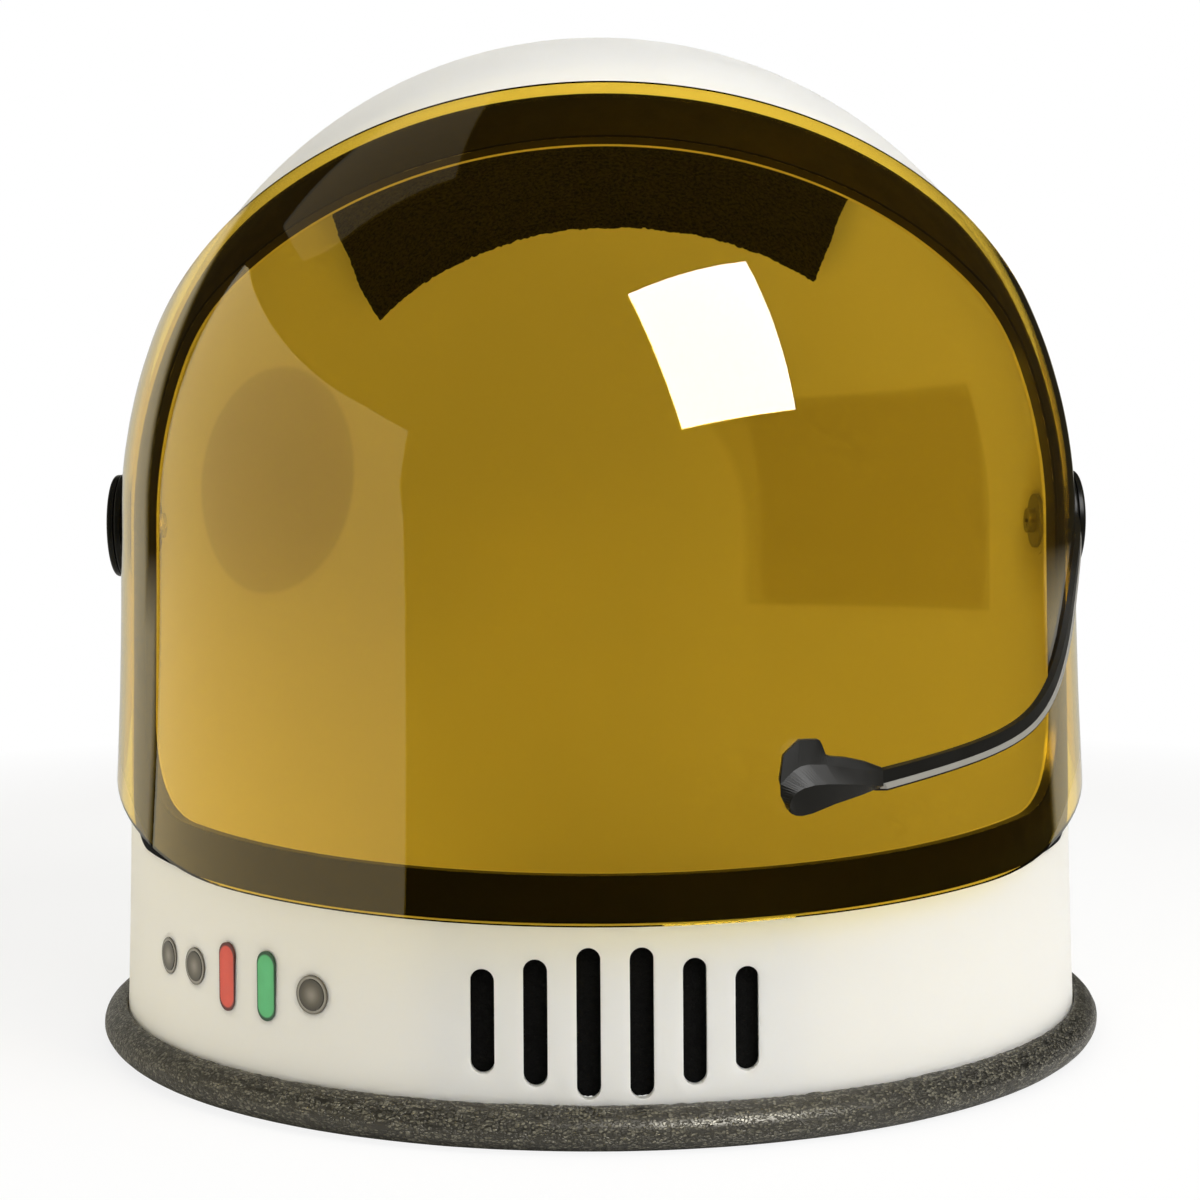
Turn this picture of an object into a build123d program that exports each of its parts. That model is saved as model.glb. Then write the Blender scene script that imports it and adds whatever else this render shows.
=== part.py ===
import os
from math import acos, atan2, cos, radians, sin

from build123d import *

# Astronaut helmet with a flip-up visor, in millimetres.
# +Z is up, the face looks along -Y, and +X is the wearer's left.
# The origin is on the floor, below the middle of the helmet.
os.makedirs("parts", exist_ok=True)

# Shell
pivot_height = 143.0
dome_radius = 137.3
dome_half_width = 133.5
body_flare = 2.5
shell_wall = 2.5
shell_bottom = 3.5
overrun = 20.0

# Outlines of the face opening and of the black band round it, seen from the side.
# Each point is forward of the pivot axis and above it, as shares of the dome radius;
# a point below the axis has its second share of the pivots' height instead
opening_outline_shares = ((1.0925, 1.0466), (0.4807, 0.3795), (0.4552, -0.5105), (1.0925, -0.5755))
opening_top_radius = 28.0
opening_bottom_radius = 25.0
band_outline_shares = ((1.0925, 1.2039), (0.4079, 0.5193), (0.3532, -0.5902), (1.0925, -0.6483))
band_top_radius = 35.0
band_bottom_radius = 16.0
band_thickness = 0.5

# Vent slots, between the foam ring and the black band
vent_drop = 2.0
vent_margin = 2.7
vent_pitch = 12.1
vent_width = 5.5
vent_length_shares = (1.0, 0.843, 0.698)

# Visor
visor_front_gap = 5.2
visor_flare = 8.0
visor_wall = 1.5
visor_top_angle = 42.1
visor_front_shares = (1.1228, -0.6475)
visor_side_shares = (0.7018, -0.6111)
visor_corner_shares = (0.1544, -0.4686)
visor_side_radius = 120.0
visor_corner_radius = 18.0
ear_radius = 17.4

# Pivots, from the inside to the outside
shaft_radius = 3.0
running_clearance = 0.05
running_gap = 0.3
boss_radius = 10.0
boss_rise = 0.15
boss_depth = 0.5
spacer_thickness = 0.6
spacer_radius = 9.0
ear_clearance = 0.35
flange_radius = 15.3
flange_thickness = 2.3
flange_rounding = 0.7
cap_radius = 14.8
cap_thickness = 2.2
cap_rounding = 0.9
cap_crown = 0.4
backing_thickness = 1.2
backing_radius = 8.0
screw_radius = 1.3
screw_head_radius = 3.6
screw_head_thickness = 2.2
screw_depth = 8.0
screw_slot_width = 0.9
screw_slot_depth = 1.0

# Foam edge ring
foam_half_width = 7.85
foam_half_height = 5.5
foam_flat = 0.5
foam_slit_clearance = 0.3
foam_joint_gap = 0.6

# Pads inside
pad_clearance = 0.3
crown_pad_thickness = 9.0
crown_front_angle = 57.0
# Plan outline of the crown pad: across and back from the pivot axis, as shares of the dome radius
crown_outline_shares = (
    (-0.5754, -1.0),
    (0.5754, -1.0),
    (0.555, 0.1093),
    (0.5462, 0.3277),
    (0.5288, 0.4632),
    (0.3562, 0.5149),
    (0.1908, 0.5492),
    (0.0226, 0.5703),
    (-0.2331, 0.5768),
    (-0.5127, 0.5608),
    (-0.5462, 0.4588),
    (-0.5725, 0.2688),
    (-0.577, 0.1093),
)
chin_pad_thickness = 8.0
chin_pad_width = 84.0
chin_pad_bottom = 10.9
chin_pad_top = 55.0

# Microphone on the visor
boom_thickness = 1.4
boom_width = 4.6
boom_shares = (
    (0.9127, -0.4277),
    (0.8316, -0.4057),
    (0.7344, -0.3822),
    (0.6466, -0.3521),
    (0.5604, -0.2983),
    (0.46, -0.197),
    (0.36, -0.0877),
    (0.2, -0.0149),
    (0.1, 0.0),
)
stripe_width = 1.3
stripe_drop = 1.2
stripe_seat = 0.6
stripe_rise = 0.2
capsule_length = 25.8
capsule_height = 17.0
capsule_thickness = 5.0
capsule_step = 3.0
capsule_step_inset = 1.5
capsule_overlap = 0.9
capsule_drop = 6.3
# Front outline of the capsule: along it, up it, and the corner's radius as a share of its height
capsule_shares = (
    (0.02, 0.66, 0.1),
    (0.085, 0.9, 0.08),
    (0.195, 1.0, 0.05),
    (0.376, 0.99, 0.05),
    (0.45, 0.765, 0.06),
    (1.0, 0.51, 0.03),
    (0.984, 0.24, 0.03),
    (0.17, 0.0, 0.18),
    (0.0, 0.365, 0.18),
)

# Lights low on the wearer's right
light_lift = 1.4
light_fall = 0.35
light_first_angle = -56.1
light_pitch_angle = 6.1
dot_radius = 3.7
bezel_radius = 4.6
bezel_gap = 0.1
bar_length = 16.8
bar_width = 6.0
light_seat = 0.8
light_rise = 0.3
bezel_rise = 0.15

# Patches on the outside, behind the pivots
patch_thickness = 0.4
round_patch_radius = 37.5
round_patch_angle = -124.5
round_patch_height = 158.5
striped_patch_width = 101.0
striped_patch_height = 72.0
striped_patch_corner = 3.0
striped_patch_angle = 130.5
striped_patch_level = 151.0

# Worked out from the sizes above
width_share = dome_half_width / dome_radius
boss_face = dome_half_width + boss_rise
visor_radius = dome_radius + visor_front_gap
visor_half_width = boss_face + spacer_thickness + ear_clearance + visor_wall
side_reach = visor_half_width + visor_flare + overrun
foam_top = foam_half_height * 2 - foam_flat
band_bottom = pivot_height * (1 + band_outline_shares[3][1])
collar_middle = (foam_top + band_bottom) / 2
vent_height = collar_middle - vent_drop
vent_longest = band_bottom - foam_top - vent_margin * 2
light_heights = [collar_middle + light_lift - light_fall * (place - 2) for place in range(5)]
ear_inside = visor_half_width - visor_wall
flange_face = visor_half_width + flange_thickness
cap_seat = flange_face + running_gap
shell_inner_face = dome_half_width - shell_wall - boss_depth
backing_face = shell_inner_face - backing_thickness
shaft_end = shell_inner_face - backing_thickness / 2
cap_shoulder = cap_thickness - cap_crown - cap_rounding
bore_radius = shaft_radius + running_clearance


def flare_at(flare, height):
    """How far a body that flares below the pivots stands out at a height."""
    if height >= pivot_height:
        return 0
    return flare * (1 - height / pivot_height) ** 2


def helmet_form(radius, half_width, flare, bottom):
    """A dome that is round about the pivot axis, on a gently flared oval wall."""
    foot = radius + flare_at(flare, bottom)
    with BuildPart() as form:
        with BuildSketch(Plane.XZ):
            with BuildLine():
                Line((0, bottom), (foot, bottom))
                Bezier((foot, bottom), (radius, (pivot_height + bottom) / 2), (radius, pivot_height))
                CenterArc((0, pivot_height), radius, 0, 90)
                Line((0, pivot_height + radius), (0, bottom))
            make_face()
        revolve(axis=Axis.Z)
        scale(by=(half_width / radius, 1, 1))
    return form.part


def shell_form(grow, bottom):
    """The shell's outer form, grown by a distance all round."""
    return helmet_form(dome_radius + grow, dome_half_width + grow, body_flare, bottom)


def visor_form(grow, bottom):
    """The visor's outer form, grown by a distance all round."""
    return helmet_form(visor_radius + grow, visor_half_width + grow, visor_flare, bottom)


def from_side(forward, above):
    """A point of the side view, in the sketch plane that faces along the pivot axis."""
    return (-forward, pivot_height + above)


def side_points(shares, radius):
    """Side-view points from shares of a radius, and of the pivots' height where they lie below the axis."""
    return [from_side(forward * radius, above * (radius if above > 0 else pivot_height)) for forward, above in shares]


def side_blank(points, radii):
    """A side-view outline with rounded corners, as a block right across the helmet."""
    with BuildPart() as blank:
        with BuildSketch(Plane.YZ.offset(-side_reach)):
            with BuildLine():
                FilletPolyline(*points, radius=radii, close=True)
            make_face()
        extrude(amount=side_reach * 2)
    return blank.part


def surface_plane(angle, height, grow=0):
    """Plane on the shell, facing outwards: the angle runs from the front towards the wearer's left."""
    deep = dome_radius + flare_at(body_flare, height)
    if height > pivot_height:
        deep = (dome_radius**2 - (height - pivot_height) ** 2) ** 0.5
    wide = deep * width_share
    turn = radians(angle)
    normal = Vector(sin(turn) / wide, -cos(turn) / deep, 0).normalized()
    place = Vector(wide * sin(turn), -deep * cos(turn), height) + normal * grow
    return Plane(origin=place, x_dir=(-normal.Y, normal.X, 0), z_dir=normal)


def pivot_plane(side, reach):
    """Plane square to the pivot axis, facing outwards, on side -1 or 1."""
    return Plane(origin=(side * reach, 0, pivot_height), x_dir=(0, 1, 0), z_dir=(side, 0, 0))


def pivot_ring(side, inner_face, thickness, radius, hole):
    """A flat ring round the pivot axis."""
    with BuildPart() as ring:
        with BuildSketch(pivot_plane(side, inner_face)):
            Circle(radius)
            Circle(hole, mode=Mode.SUBTRACT)
        extrude(amount=thickness)
    return ring.part


def finish(piece, name):
    """Label a piece and write it."""
    piece.part.label = name
    export_step(piece.part, "parts/" + name + ".step")


# Forms and outlines that several pieces share
shell_outside = shell_form(0, shell_bottom)
shell_inside = shell_form(-shell_wall, -overrun)
opening_blank = side_blank(
    side_points(opening_outline_shares, dome_radius),
    (0, opening_top_radius, opening_bottom_radius, 0),
)
band_blank = side_blank(
    side_points(band_outline_shares, dome_radius),
    (0, band_top_radius, band_bottom_radius, 0),
)
visor_outside = visor_form(0, shell_bottom)

# Shell
with BuildPart() as shell:
    add(shell_outside)
    for side in (-1, 1):
        with BuildSketch(pivot_plane(side, shell_inner_face)):
            Circle(boss_radius)
        extrude(amount=boss_face - shell_inner_face)
    add(shell_inside, mode=Mode.SUBTRACT)
    for side in (-1, 1):
        with BuildSketch(pivot_plane(side, shell_inner_face)):
            Circle(boss_radius)
        extrude(amount=boss_face - shell_inner_face)
        with BuildSketch(pivot_plane(side, shell_inner_face - overrun)):
            Circle(bore_radius)
        extrude(amount=overrun + boss_face, mode=Mode.SUBTRACT)
    add(opening_blank, mode=Mode.SUBTRACT)
    for row, length_share in enumerate(vent_length_shares):
        offset_from_middle = vent_pitch * (row + 1 / 2)
        with BuildSketch(Plane.XZ.offset(dome_radius - overrun)):
            with Locations((-offset_from_middle, vent_height), (offset_from_middle, vent_height)):
                SlotOverall(vent_longest * length_share, vent_width, rotation=90)
        extrude(amount=overrun * 2, mode=Mode.SUBTRACT)
    for place in (0, 1, 4):
        angle = light_first_angle + light_pitch_angle * place
        with BuildSketch(surface_plane(angle, light_heights[place], -light_seat)):
            Circle(bezel_radius + bezel_gap)
        extrude(amount=overrun, mode=Mode.SUBTRACT)
    for place in (2, 3):
        angle = light_first_angle + light_pitch_angle * place
        with BuildSketch(surface_plane(angle, light_heights[place], -light_seat)):
            SlotOverall(bar_length + bezel_gap, bar_width + bezel_gap, rotation=90)
        extrude(amount=overrun, mode=Mode.SUBTRACT)
finish(shell, "shell")

# Black band round the face opening
with BuildPart() as opening_trim:
    add(shell_form(band_thickness, shell_bottom))
    add(shell_outside, mode=Mode.SUBTRACT)
    add(band_blank, mode=Mode.INTERSECT)
    add(opening_blank, mode=Mode.SUBTRACT)
finish(opening_trim, "opening_trim")

# Visor: its top edge and its rear edge are tangents to the round ears
corner_forward = visor_corner_shares[0] * visor_radius
corner_above = visor_corner_shares[1] * pivot_height
corner_distance = (corner_forward**2 + corner_above**2) ** 0.5
rear_tangent = atan2(corner_above, corner_forward) - acos(ear_radius / corner_distance)
top_tangent = radians(visor_top_angle + 90)
top_reach = visor_radius + overrun * 3
visor_points = [
    from_side(ear_radius * cos(top_tangent), ear_radius * sin(top_tangent)),
    from_side(
        ear_radius * cos(top_tangent) + top_reach * sin(top_tangent),
        ear_radius * sin(top_tangent) - top_reach * cos(top_tangent),
    ),
    *side_points((visor_front_shares, visor_side_shares, visor_corner_shares), visor_radius),
    from_side(ear_radius * cos(rear_tangent), ear_radius * sin(rear_tangent)),
]
with BuildPart() as visor_blank:
    add(side_blank(visor_points, (0, 0, 0, visor_side_radius, visor_corner_radius, 0)))
    with BuildSketch(Plane.YZ.offset(-side_reach)):
        with Locations((0, pivot_height)):
            Circle(ear_radius)
    extrude(amount=side_reach * 2)
with BuildPart() as visor:
    add(visor_outside)
    add(visor_form(-visor_wall, -overrun), mode=Mode.SUBTRACT)
    add(visor_blank.part, mode=Mode.INTERSECT)
    for side in (-1, 1):
        with BuildSketch(pivot_plane(side, ear_inside)):
            Circle(ear_radius)
        extrude(amount=visor_wall)
        with BuildSketch(pivot_plane(side, visor_half_width)):
            Circle(ear_radius)
        extrude(amount=overrun, mode=Mode.SUBTRACT)
        with BuildSketch(pivot_plane(side, ear_inside - overrun)):
            Circle(ear_radius + visor_wall)
        extrude(amount=overrun, mode=Mode.SUBTRACT)
        with BuildSketch(pivot_plane(side, ear_inside - overrun)):
            Circle(bore_radius)
        extrude(amount=overrun * 2, mode=Mode.SUBTRACT)
finish(visor, "visor")

# Pivots
for side, name in ((1, "left"), (-1, "right")):
    with BuildPart() as pivot_flange:
        add(pivot_ring(side, visor_half_width, flange_thickness, flange_radius, bore_radius))
        rims = pivot_flange.edges().filter_by(GeomType.CIRCLE).sort_by(SortBy.RADIUS)[-2:]
        fillet(rims, flange_rounding)
    finish(pivot_flange, "pivot_flange_" + name)

    with BuildPart() as pivot_cap:
        with BuildSketch(Plane(origin=(side * cap_seat, 0, pivot_height), x_dir=(side, 0, 0), z_dir=(0, -side, 0))):
            with BuildLine():
                Polyline((cap_thickness, 0), (0, 0), (0, cap_radius), (cap_shoulder, cap_radius))
                cap_edge = (cap_shoulder + cap_rounding, cap_radius - cap_rounding)
                TangentArc((cap_shoulder, cap_radius), cap_edge, tangent=(1, 0))
                Line(cap_edge, (cap_thickness, 0))
            make_face()
        revolve(axis=Axis((0, 0, pivot_height), (side, 0, 0)))
        with BuildSketch(pivot_plane(side, shaft_end)):
            Circle(shaft_radius)
        extrude(amount=cap_seat - shaft_end)
        with BuildSketch(pivot_plane(side, shaft_end)):
            Circle(screw_radius + running_clearance)
        extrude(amount=screw_depth, mode=Mode.SUBTRACT)
    finish(pivot_cap, "pivot_cap_" + name)

with BuildPart() as pivot_spacers:
    for side in (-1, 1):
        add(pivot_ring(side, boss_face, spacer_thickness, spacer_radius, bore_radius))
finish(pivot_spacers, "pivot_spacers")

with BuildPart() as backing_washers:
    for side in (-1, 1):
        add(pivot_ring(side, backing_face, backing_thickness, backing_radius, bore_radius))
finish(backing_washers, "backing_washers")

with BuildPart() as pivot_screws:
    for side in (-1, 1):
        with BuildSketch(pivot_plane(side, backing_face - screw_head_thickness)):
            Circle(screw_head_radius)
        extrude(amount=screw_head_thickness)
        with BuildSketch(pivot_plane(side, backing_face)):
            Circle(screw_radius)
        extrude(amount=screw_depth)
        with BuildSketch(pivot_plane(side, backing_face - screw_head_thickness)):
            Rectangle(screw_head_radius, screw_slot_width)
            Rectangle(screw_slot_width, screw_head_radius)
        extrude(amount=screw_slot_depth, mode=Mode.SUBTRACT)
finish(pivot_screws, "pivot_screws")

# Foam edge ring: an oval tube cut flat below, with a slit that grips the shell's rim
foam_middle = dome_radius + body_flare - shell_wall / 2
foam_level = foam_half_height - foam_flat
with BuildPart() as base_foam:
    with BuildSketch(Plane.XZ):
        with Locations((foam_middle, foam_level)):
            Ellipse(foam_half_width, foam_half_height)
        with Locations((foam_middle, shell_bottom - foam_slit_clearance)):
            Rectangle(
                shell_wall + foam_slit_clearance * 4,
                foam_half_height * 2,
                align=(Align.CENTER, Align.MIN),
                mode=Mode.SUBTRACT,
            )
    revolve(axis=Axis.Z)
    scale(by=(width_share, 1, 1))
    with BuildSketch(Plane.XY):
        Circle(foam_middle + foam_half_width * 2)
    extrude(amount=-foam_half_height, mode=Mode.SUBTRACT)
    with BuildSketch(Plane.XZ.offset(-foam_middle - foam_half_width)):
        Rectangle(foam_joint_gap, foam_half_height * 4)
    extrude(amount=foam_half_width * 3, mode=Mode.SUBTRACT)
finish(base_foam, "base_foam")

# Crown pad under the dome
pad_skin = -shell_wall - pad_clearance
crown_reach = dome_radius * 2
front_edge = from_side(crown_reach * cos(radians(crown_front_angle)), crown_reach * sin(radians(crown_front_angle)))
crown_blank = side_blank(
    [from_side(0, 0), front_edge, from_side(0, crown_reach), from_side(-crown_reach, 0)],
    (0, 0, 0, 0),
)
with BuildPart() as crown_pad:
    add(shell_form(pad_skin, shell_bottom))
    add(shell_form(pad_skin - crown_pad_thickness, -overrun), mode=Mode.SUBTRACT)
    add(crown_blank, mode=Mode.INTERSECT)
    with BuildSketch(Plane.XY.offset(pivot_height)):
        with BuildLine():
            Polyline(*[(across * dome_radius, back * dome_radius) for across, back in crown_outline_shares], close=True)
        make_face()
    extrude(amount=dome_radius, mode=Mode.INTERSECT)
finish(crown_pad, "crown_pad")

# Chin pad behind the vents
with BuildPart() as chin_pad:
    add(shell_form(pad_skin, shell_bottom))
    add(shell_form(pad_skin - chin_pad_thickness, -overrun), mode=Mode.SUBTRACT)
    with BuildSketch(Plane.XY.offset(chin_pad_bottom)):
        Rectangle(chin_pad_width, dome_radius * 2, align=(Align.CENTER, Align.MAX))
    extrude(amount=chin_pad_top - chin_pad_bottom, mode=Mode.INTERSECT)
finish(chin_pad, "chin_pad")


def boom_blank(width, drop):
    """A band along the boom's route, seen from the side, as a block on the wearer's left."""
    route = [Vector(*point) for point in side_points(boom_shares, visor_radius)]
    headings = [after - before for before, after in zip(route[:1] + route, route[1:] + route[-1:])]
    normals = [Vector(-heading.Y, heading.X).normalized() for heading in headings[: len(route)]]
    with BuildPart() as blank:
        with BuildSketch(Plane.YZ):
            with BuildLine():
                upper = Spline(*[at + normal * (width / 2 - drop) for at, normal in zip(route, normals)])
                lower = Spline(*[at - normal * (width / 2 + drop) for at, normal in zip(route, normals)])
                Line(upper @ 0, lower @ 0)
                Line(upper @ 1, lower @ 1)
            make_face()
        extrude(amount=side_reach)
    return blank.part


# Microphone boom with its silver stripe, both on the visor's outer face
with BuildPart() as mic_stripe:
    add(visor_form(boom_thickness + stripe_rise, shell_bottom))
    add(visor_form(boom_thickness - stripe_seat, shell_bottom), mode=Mode.SUBTRACT)
    add(boom_blank(stripe_width, stripe_drop), mode=Mode.INTERSECT)
    with BuildSketch(pivot_plane(1, 0)):
        Circle(ear_radius)
    extrude(amount=side_reach, mode=Mode.SUBTRACT)
finish(mic_stripe, "mic_stripe")

with BuildPart() as mic_boom:
    add(visor_form(boom_thickness, shell_bottom))
    add(visor_outside, mode=Mode.SUBTRACT)
    add(boom_blank(boom_width, 0), mode=Mode.INTERSECT)
    with BuildSketch(pivot_plane(1, 0)):
        Circle(ear_radius)
    extrude(amount=side_reach, mode=Mode.SUBTRACT)
    add(mic_stripe.part, mode=Mode.SUBTRACT)
finish(mic_boom, "mic_boom")

# Microphone capsule: a wide foot and a narrower raised top, both cut to its front outline
boom_end_forward = boom_shares[0][0] * visor_radius
boom_end_height = pivot_height * (1 + boom_shares[0][1])
boom_end_deep = visor_radius + flare_at(visor_flare, boom_end_height) + boom_thickness
boom_end_side = (boom_end_deep**2 - boom_end_forward**2) ** 0.5 * visor_half_width / visor_radius
capsule_near = boom_end_side + capsule_overlap - capsule_length
capsule_bottom = boom_end_height - capsule_drop
capsule_points = [
    (capsule_near + along * capsule_length, capsule_bottom + up * capsule_height)
    for along, up, rounding in capsule_shares
]
capsule_radii = [rounding * capsule_height for along, up, rounding in capsule_shares]


def capsule_blank(inset):
    """The capsule's front outline, drawn in by an inset, as a block through the front of the visor."""
    with BuildPart() as blank:
        with BuildSketch(Plane.XZ):
            with BuildLine():
                FilletPolyline(*capsule_points, radius=capsule_radii, close=True)
            make_face()
            if inset > 0:
                offset(amount=-inset, kind=Kind.INTERSECTION)
        extrude(amount=visor_radius + overrun)
    return blank.part


with BuildPart() as capsule_foot:
    add(visor_form(capsule_step, shell_bottom))
    add(visor_outside, mode=Mode.SUBTRACT)
    add(capsule_blank(0), mode=Mode.INTERSECT)
with BuildPart() as capsule_top:
    add(visor_form(capsule_thickness, shell_bottom))
    add(visor_outside, mode=Mode.SUBTRACT)
    add(capsule_blank(capsule_step_inset), mode=Mode.INTERSECT)
with BuildPart() as mic_capsule:
    add(capsule_foot.part)
    add(capsule_top.part)
    add(mic_boom.part, mode=Mode.SUBTRACT)
    add(mic_stripe.part, mode=Mode.SUBTRACT)
finish(mic_capsule, "mic_capsule")

# Lights: three round ones with a thin bezel each, and two upright bars
with BuildPart() as status_dots:
    for place in (0, 1, 4):
        angle = light_first_angle + light_pitch_angle * place
        with BuildSketch(surface_plane(angle, light_heights[place], -light_seat)):
            Circle(dot_radius)
        extrude(amount=light_seat + light_rise)
finish(status_dots, "status_dots")

with BuildPart() as dot_bezels:
    for place in (0, 1, 4):
        angle = light_first_angle + light_pitch_angle * place
        with BuildSketch(surface_plane(angle, light_heights[place], -light_seat)):
            Circle(bezel_radius)
            Circle(dot_radius + bezel_gap, mode=Mode.SUBTRACT)
        extrude(amount=light_seat + bezel_rise)
finish(dot_bezels, "dot_bezels")

for name, place in (("red_light", 2), ("green_light", 3)):
    angle = light_first_angle + light_pitch_angle * place
    with BuildPart() as bar_light:
        with BuildSketch(surface_plane(angle, light_heights[place], -light_seat)):
            SlotOverall(bar_length, bar_width, rotation=90)
        extrude(amount=light_seat + light_rise)
    finish(bar_light, name)

# Patches on the outside, behind the pivots
patch_skin = shell_form(patch_thickness, shell_bottom)
with BuildPart() as round_patch:
    add(patch_skin)
    add(shell_outside, mode=Mode.SUBTRACT)
    with BuildSketch(surface_plane(round_patch_angle, round_patch_height, -overrun)):
        Circle(round_patch_radius)
    extrude(amount=overrun * 2, mode=Mode.INTERSECT)
finish(round_patch, "round_patch")

with BuildPart() as striped_patch:
    add(patch_skin)
    add(shell_outside, mode=Mode.SUBTRACT)
    with BuildSketch(surface_plane(striped_patch_angle, striped_patch_level, -overrun)):
        RectangleRounded(striped_patch_width, striped_patch_height, striped_patch_corner)
    extrude(amount=overrun * 2, mode=Mode.INTERSECT)
finish(striped_patch, "striped_patch")
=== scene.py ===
import math

import bmesh
import bpy
from mathutils import Euler, Matrix, Vector, noise


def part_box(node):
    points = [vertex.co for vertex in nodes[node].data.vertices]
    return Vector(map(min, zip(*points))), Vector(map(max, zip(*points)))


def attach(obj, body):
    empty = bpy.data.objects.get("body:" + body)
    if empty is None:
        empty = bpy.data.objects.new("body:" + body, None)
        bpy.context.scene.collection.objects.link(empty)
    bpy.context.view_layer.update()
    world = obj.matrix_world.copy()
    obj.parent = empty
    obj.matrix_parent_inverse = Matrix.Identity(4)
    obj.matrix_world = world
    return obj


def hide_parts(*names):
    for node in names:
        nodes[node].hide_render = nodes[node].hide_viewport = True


# Astronaut helmet with a flip-up gold visor, in metres.
# +Z is up, the face looks along -Y, and +X is the wearer's left.
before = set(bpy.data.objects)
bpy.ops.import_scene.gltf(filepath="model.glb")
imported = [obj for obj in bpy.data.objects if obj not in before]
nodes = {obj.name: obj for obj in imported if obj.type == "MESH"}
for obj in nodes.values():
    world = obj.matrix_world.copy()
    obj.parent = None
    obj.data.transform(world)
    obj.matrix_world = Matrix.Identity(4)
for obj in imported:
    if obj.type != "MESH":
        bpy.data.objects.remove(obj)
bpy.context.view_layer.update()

# Sizes of the solids, which the meshes and materials made here follow
PIVOT_HEIGHT = 0.143
DOME_RADIUS = 0.1373
DOME_HALF_WIDTH = 0.1335
WIDTH_SHARE = DOME_HALF_WIDTH / DOME_RADIUS
SHELL_FLARE = 0.0025
SHELL_WALL = 0.0025
PAD_CLEARANCE = 0.0003
OPENING_BOTTOM = 0.058
VISOR_RADIUS = 0.1425
VISOR_HALF_WIDTH = 0.1361
VISOR_FLARE = 0.008
VISOR_WALL = 0.0015


# Camera, fitted to the rim ovals and the dome in the photograph
CAMERA_PLACE = (-0.01398, -0.5898, 0.1375)
CAMERA_LENS = 60.2
TILT_DOWN, TURN, ROLL = 0.0291, -0.0245, -0.006


def new_object(name, data):
    """A new object in the scene."""
    item = bpy.data.objects.new(name, data)
    bpy.context.scene.collection.objects.link(item)
    return item


def make_camera():
    """The camera at the photograph's place, with its small tilt, turn and roll."""
    camera = new_object("camera", bpy.data.cameras.new("camera"))
    camera.data.lens = CAMERA_LENS
    camera.data.sensor_width = 36
    camera.data.clip_start = 0.01
    camera.location = CAMERA_PLACE
    aim = Euler((math.pi / 2 - TILT_DOWN, 0, TURN)).to_matrix() @ Matrix.Rotation(ROLL, 3, "Z")
    camera.rotation_euler = aim.to_euler()
    bpy.context.scene.camera = camera


# Node helpers
def new_tree(name):
    """An empty material with its node tree."""
    material = bpy.data.materials.new(name)
    material.use_nodes = True
    material.node_tree.nodes.clear()
    return material, material.node_tree


def add_node(tree, kind, settings=None, **inputs):
    """A node whose inputs are values or sockets; a key like Base_Color names the socket Base Color."""
    node = tree.nodes.new(kind)
    for key, value in (settings or {}).items():
        setattr(node, key, value)
    for key, value in inputs.items():
        name = key.replace("_", " ")
        socket = node.inputs[int(name[1:])] if name[0] == "n" and name[1:].isdigit() else node.inputs[name]
        if isinstance(value, bpy.types.NodeSocket):
            tree.links.new(value, socket)
        else:
            socket.default_value = value
    return node


def maths(tree, operation, first, second=0.0, third=0.0):
    """The result of one Math node."""
    node = add_node(tree, "ShaderNodeMath", {"operation": operation}, n0=first, n1=second, n2=third)
    return node.outputs[0]


def vector_maths(tree, operation, *values):
    """The outputs of one Vector Math node, named Vector and Value."""
    inputs = {f"n{index}": value for index, value in enumerate(values)}
    return add_node(tree, "ShaderNodeVectorMath", {"operation": operation}, **inputs).outputs


def mix_colours(tree, share, first, second):
    """A colour between two."""
    node = add_node(tree, "ShaderNodeMix", {"data_type": "RGBA"}, Factor=share)
    for socket, value in ((node.inputs[6], first), (node.inputs[7], second)):
        if isinstance(value, bpy.types.NodeSocket):
            tree.links.new(value, socket)
        else:
            socket.default_value = (*value, 1)
    return node.outputs[2]


def place(tree):
    """Where a point lies on the piece, in the helmet's own frame."""
    return add_node(tree, "ShaderNodeTexCoord").outputs["Object"]


def grain(tree, scale, detail=3.0, roughness=0.55):
    """A noise value, fixed to the piece."""
    node = add_node(
        tree, "ShaderNodeTexNoise", Vector=place(tree), Scale=scale, Detail=detail, Roughness=roughness,
    )
    return node.outputs["Fac"]


def span(tree, value, low, high, to_low=0.0, to_high=1.0):
    """A value carried from one range to another, and held at its ends."""
    node = add_node(
        tree, "ShaderNodeMapRange", Value=value, From_Min=low, From_Max=high, To_Min=to_low, To_Max=to_high
    )
    return node.outputs["Result"]


def bump(tree, height, distance, strength=1.0, normal=None):
    """A bump of that height in metres."""
    node = add_node(tree, "ShaderNodeBump", Height=height, Distance=distance, Strength=strength)
    if normal is not None:
        tree.links.new(normal, node.inputs["Normal"])
    return node.outputs["Normal"]


def output(tree, shader):
    """Joins a shader to the material's surface."""
    add_node(tree, "ShaderNodeOutputMaterial", Surface=shader)


def let_light_through(tree, shader, tint):
    """Joins a shader to the surface; shadow rays and diffuse rays pass straight through it, tinted."""
    through = add_node(tree, "ShaderNodeBsdfTransparent", Color=(*tint, 1))
    path = add_node(tree, "ShaderNodeLightPath").outputs
    passing = maths(tree, "MAXIMUM", path["Is Shadow Ray"], path["Is Diffuse Ray"])
    both = add_node(tree, "ShaderNodeMixShader", n0=passing, n1=shader, n2=through.outputs[0])
    output(tree, both.outputs[0])


def seen_directly(tree):
    """1 for camera rays and for rays that passed clear sheets without being mirrored, 0 for others."""
    path = add_node(tree, "ShaderNodeLightPath").outputs
    straight = maths(tree, "LESS_THAN", path["Glossy Depth"], 0.5)
    clear = maths(tree, "MULTIPLY", path["Is Transmission Ray"], straight)
    return maths(tree, "MAXIMUM", path["Is Camera Ray"], clear)


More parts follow.
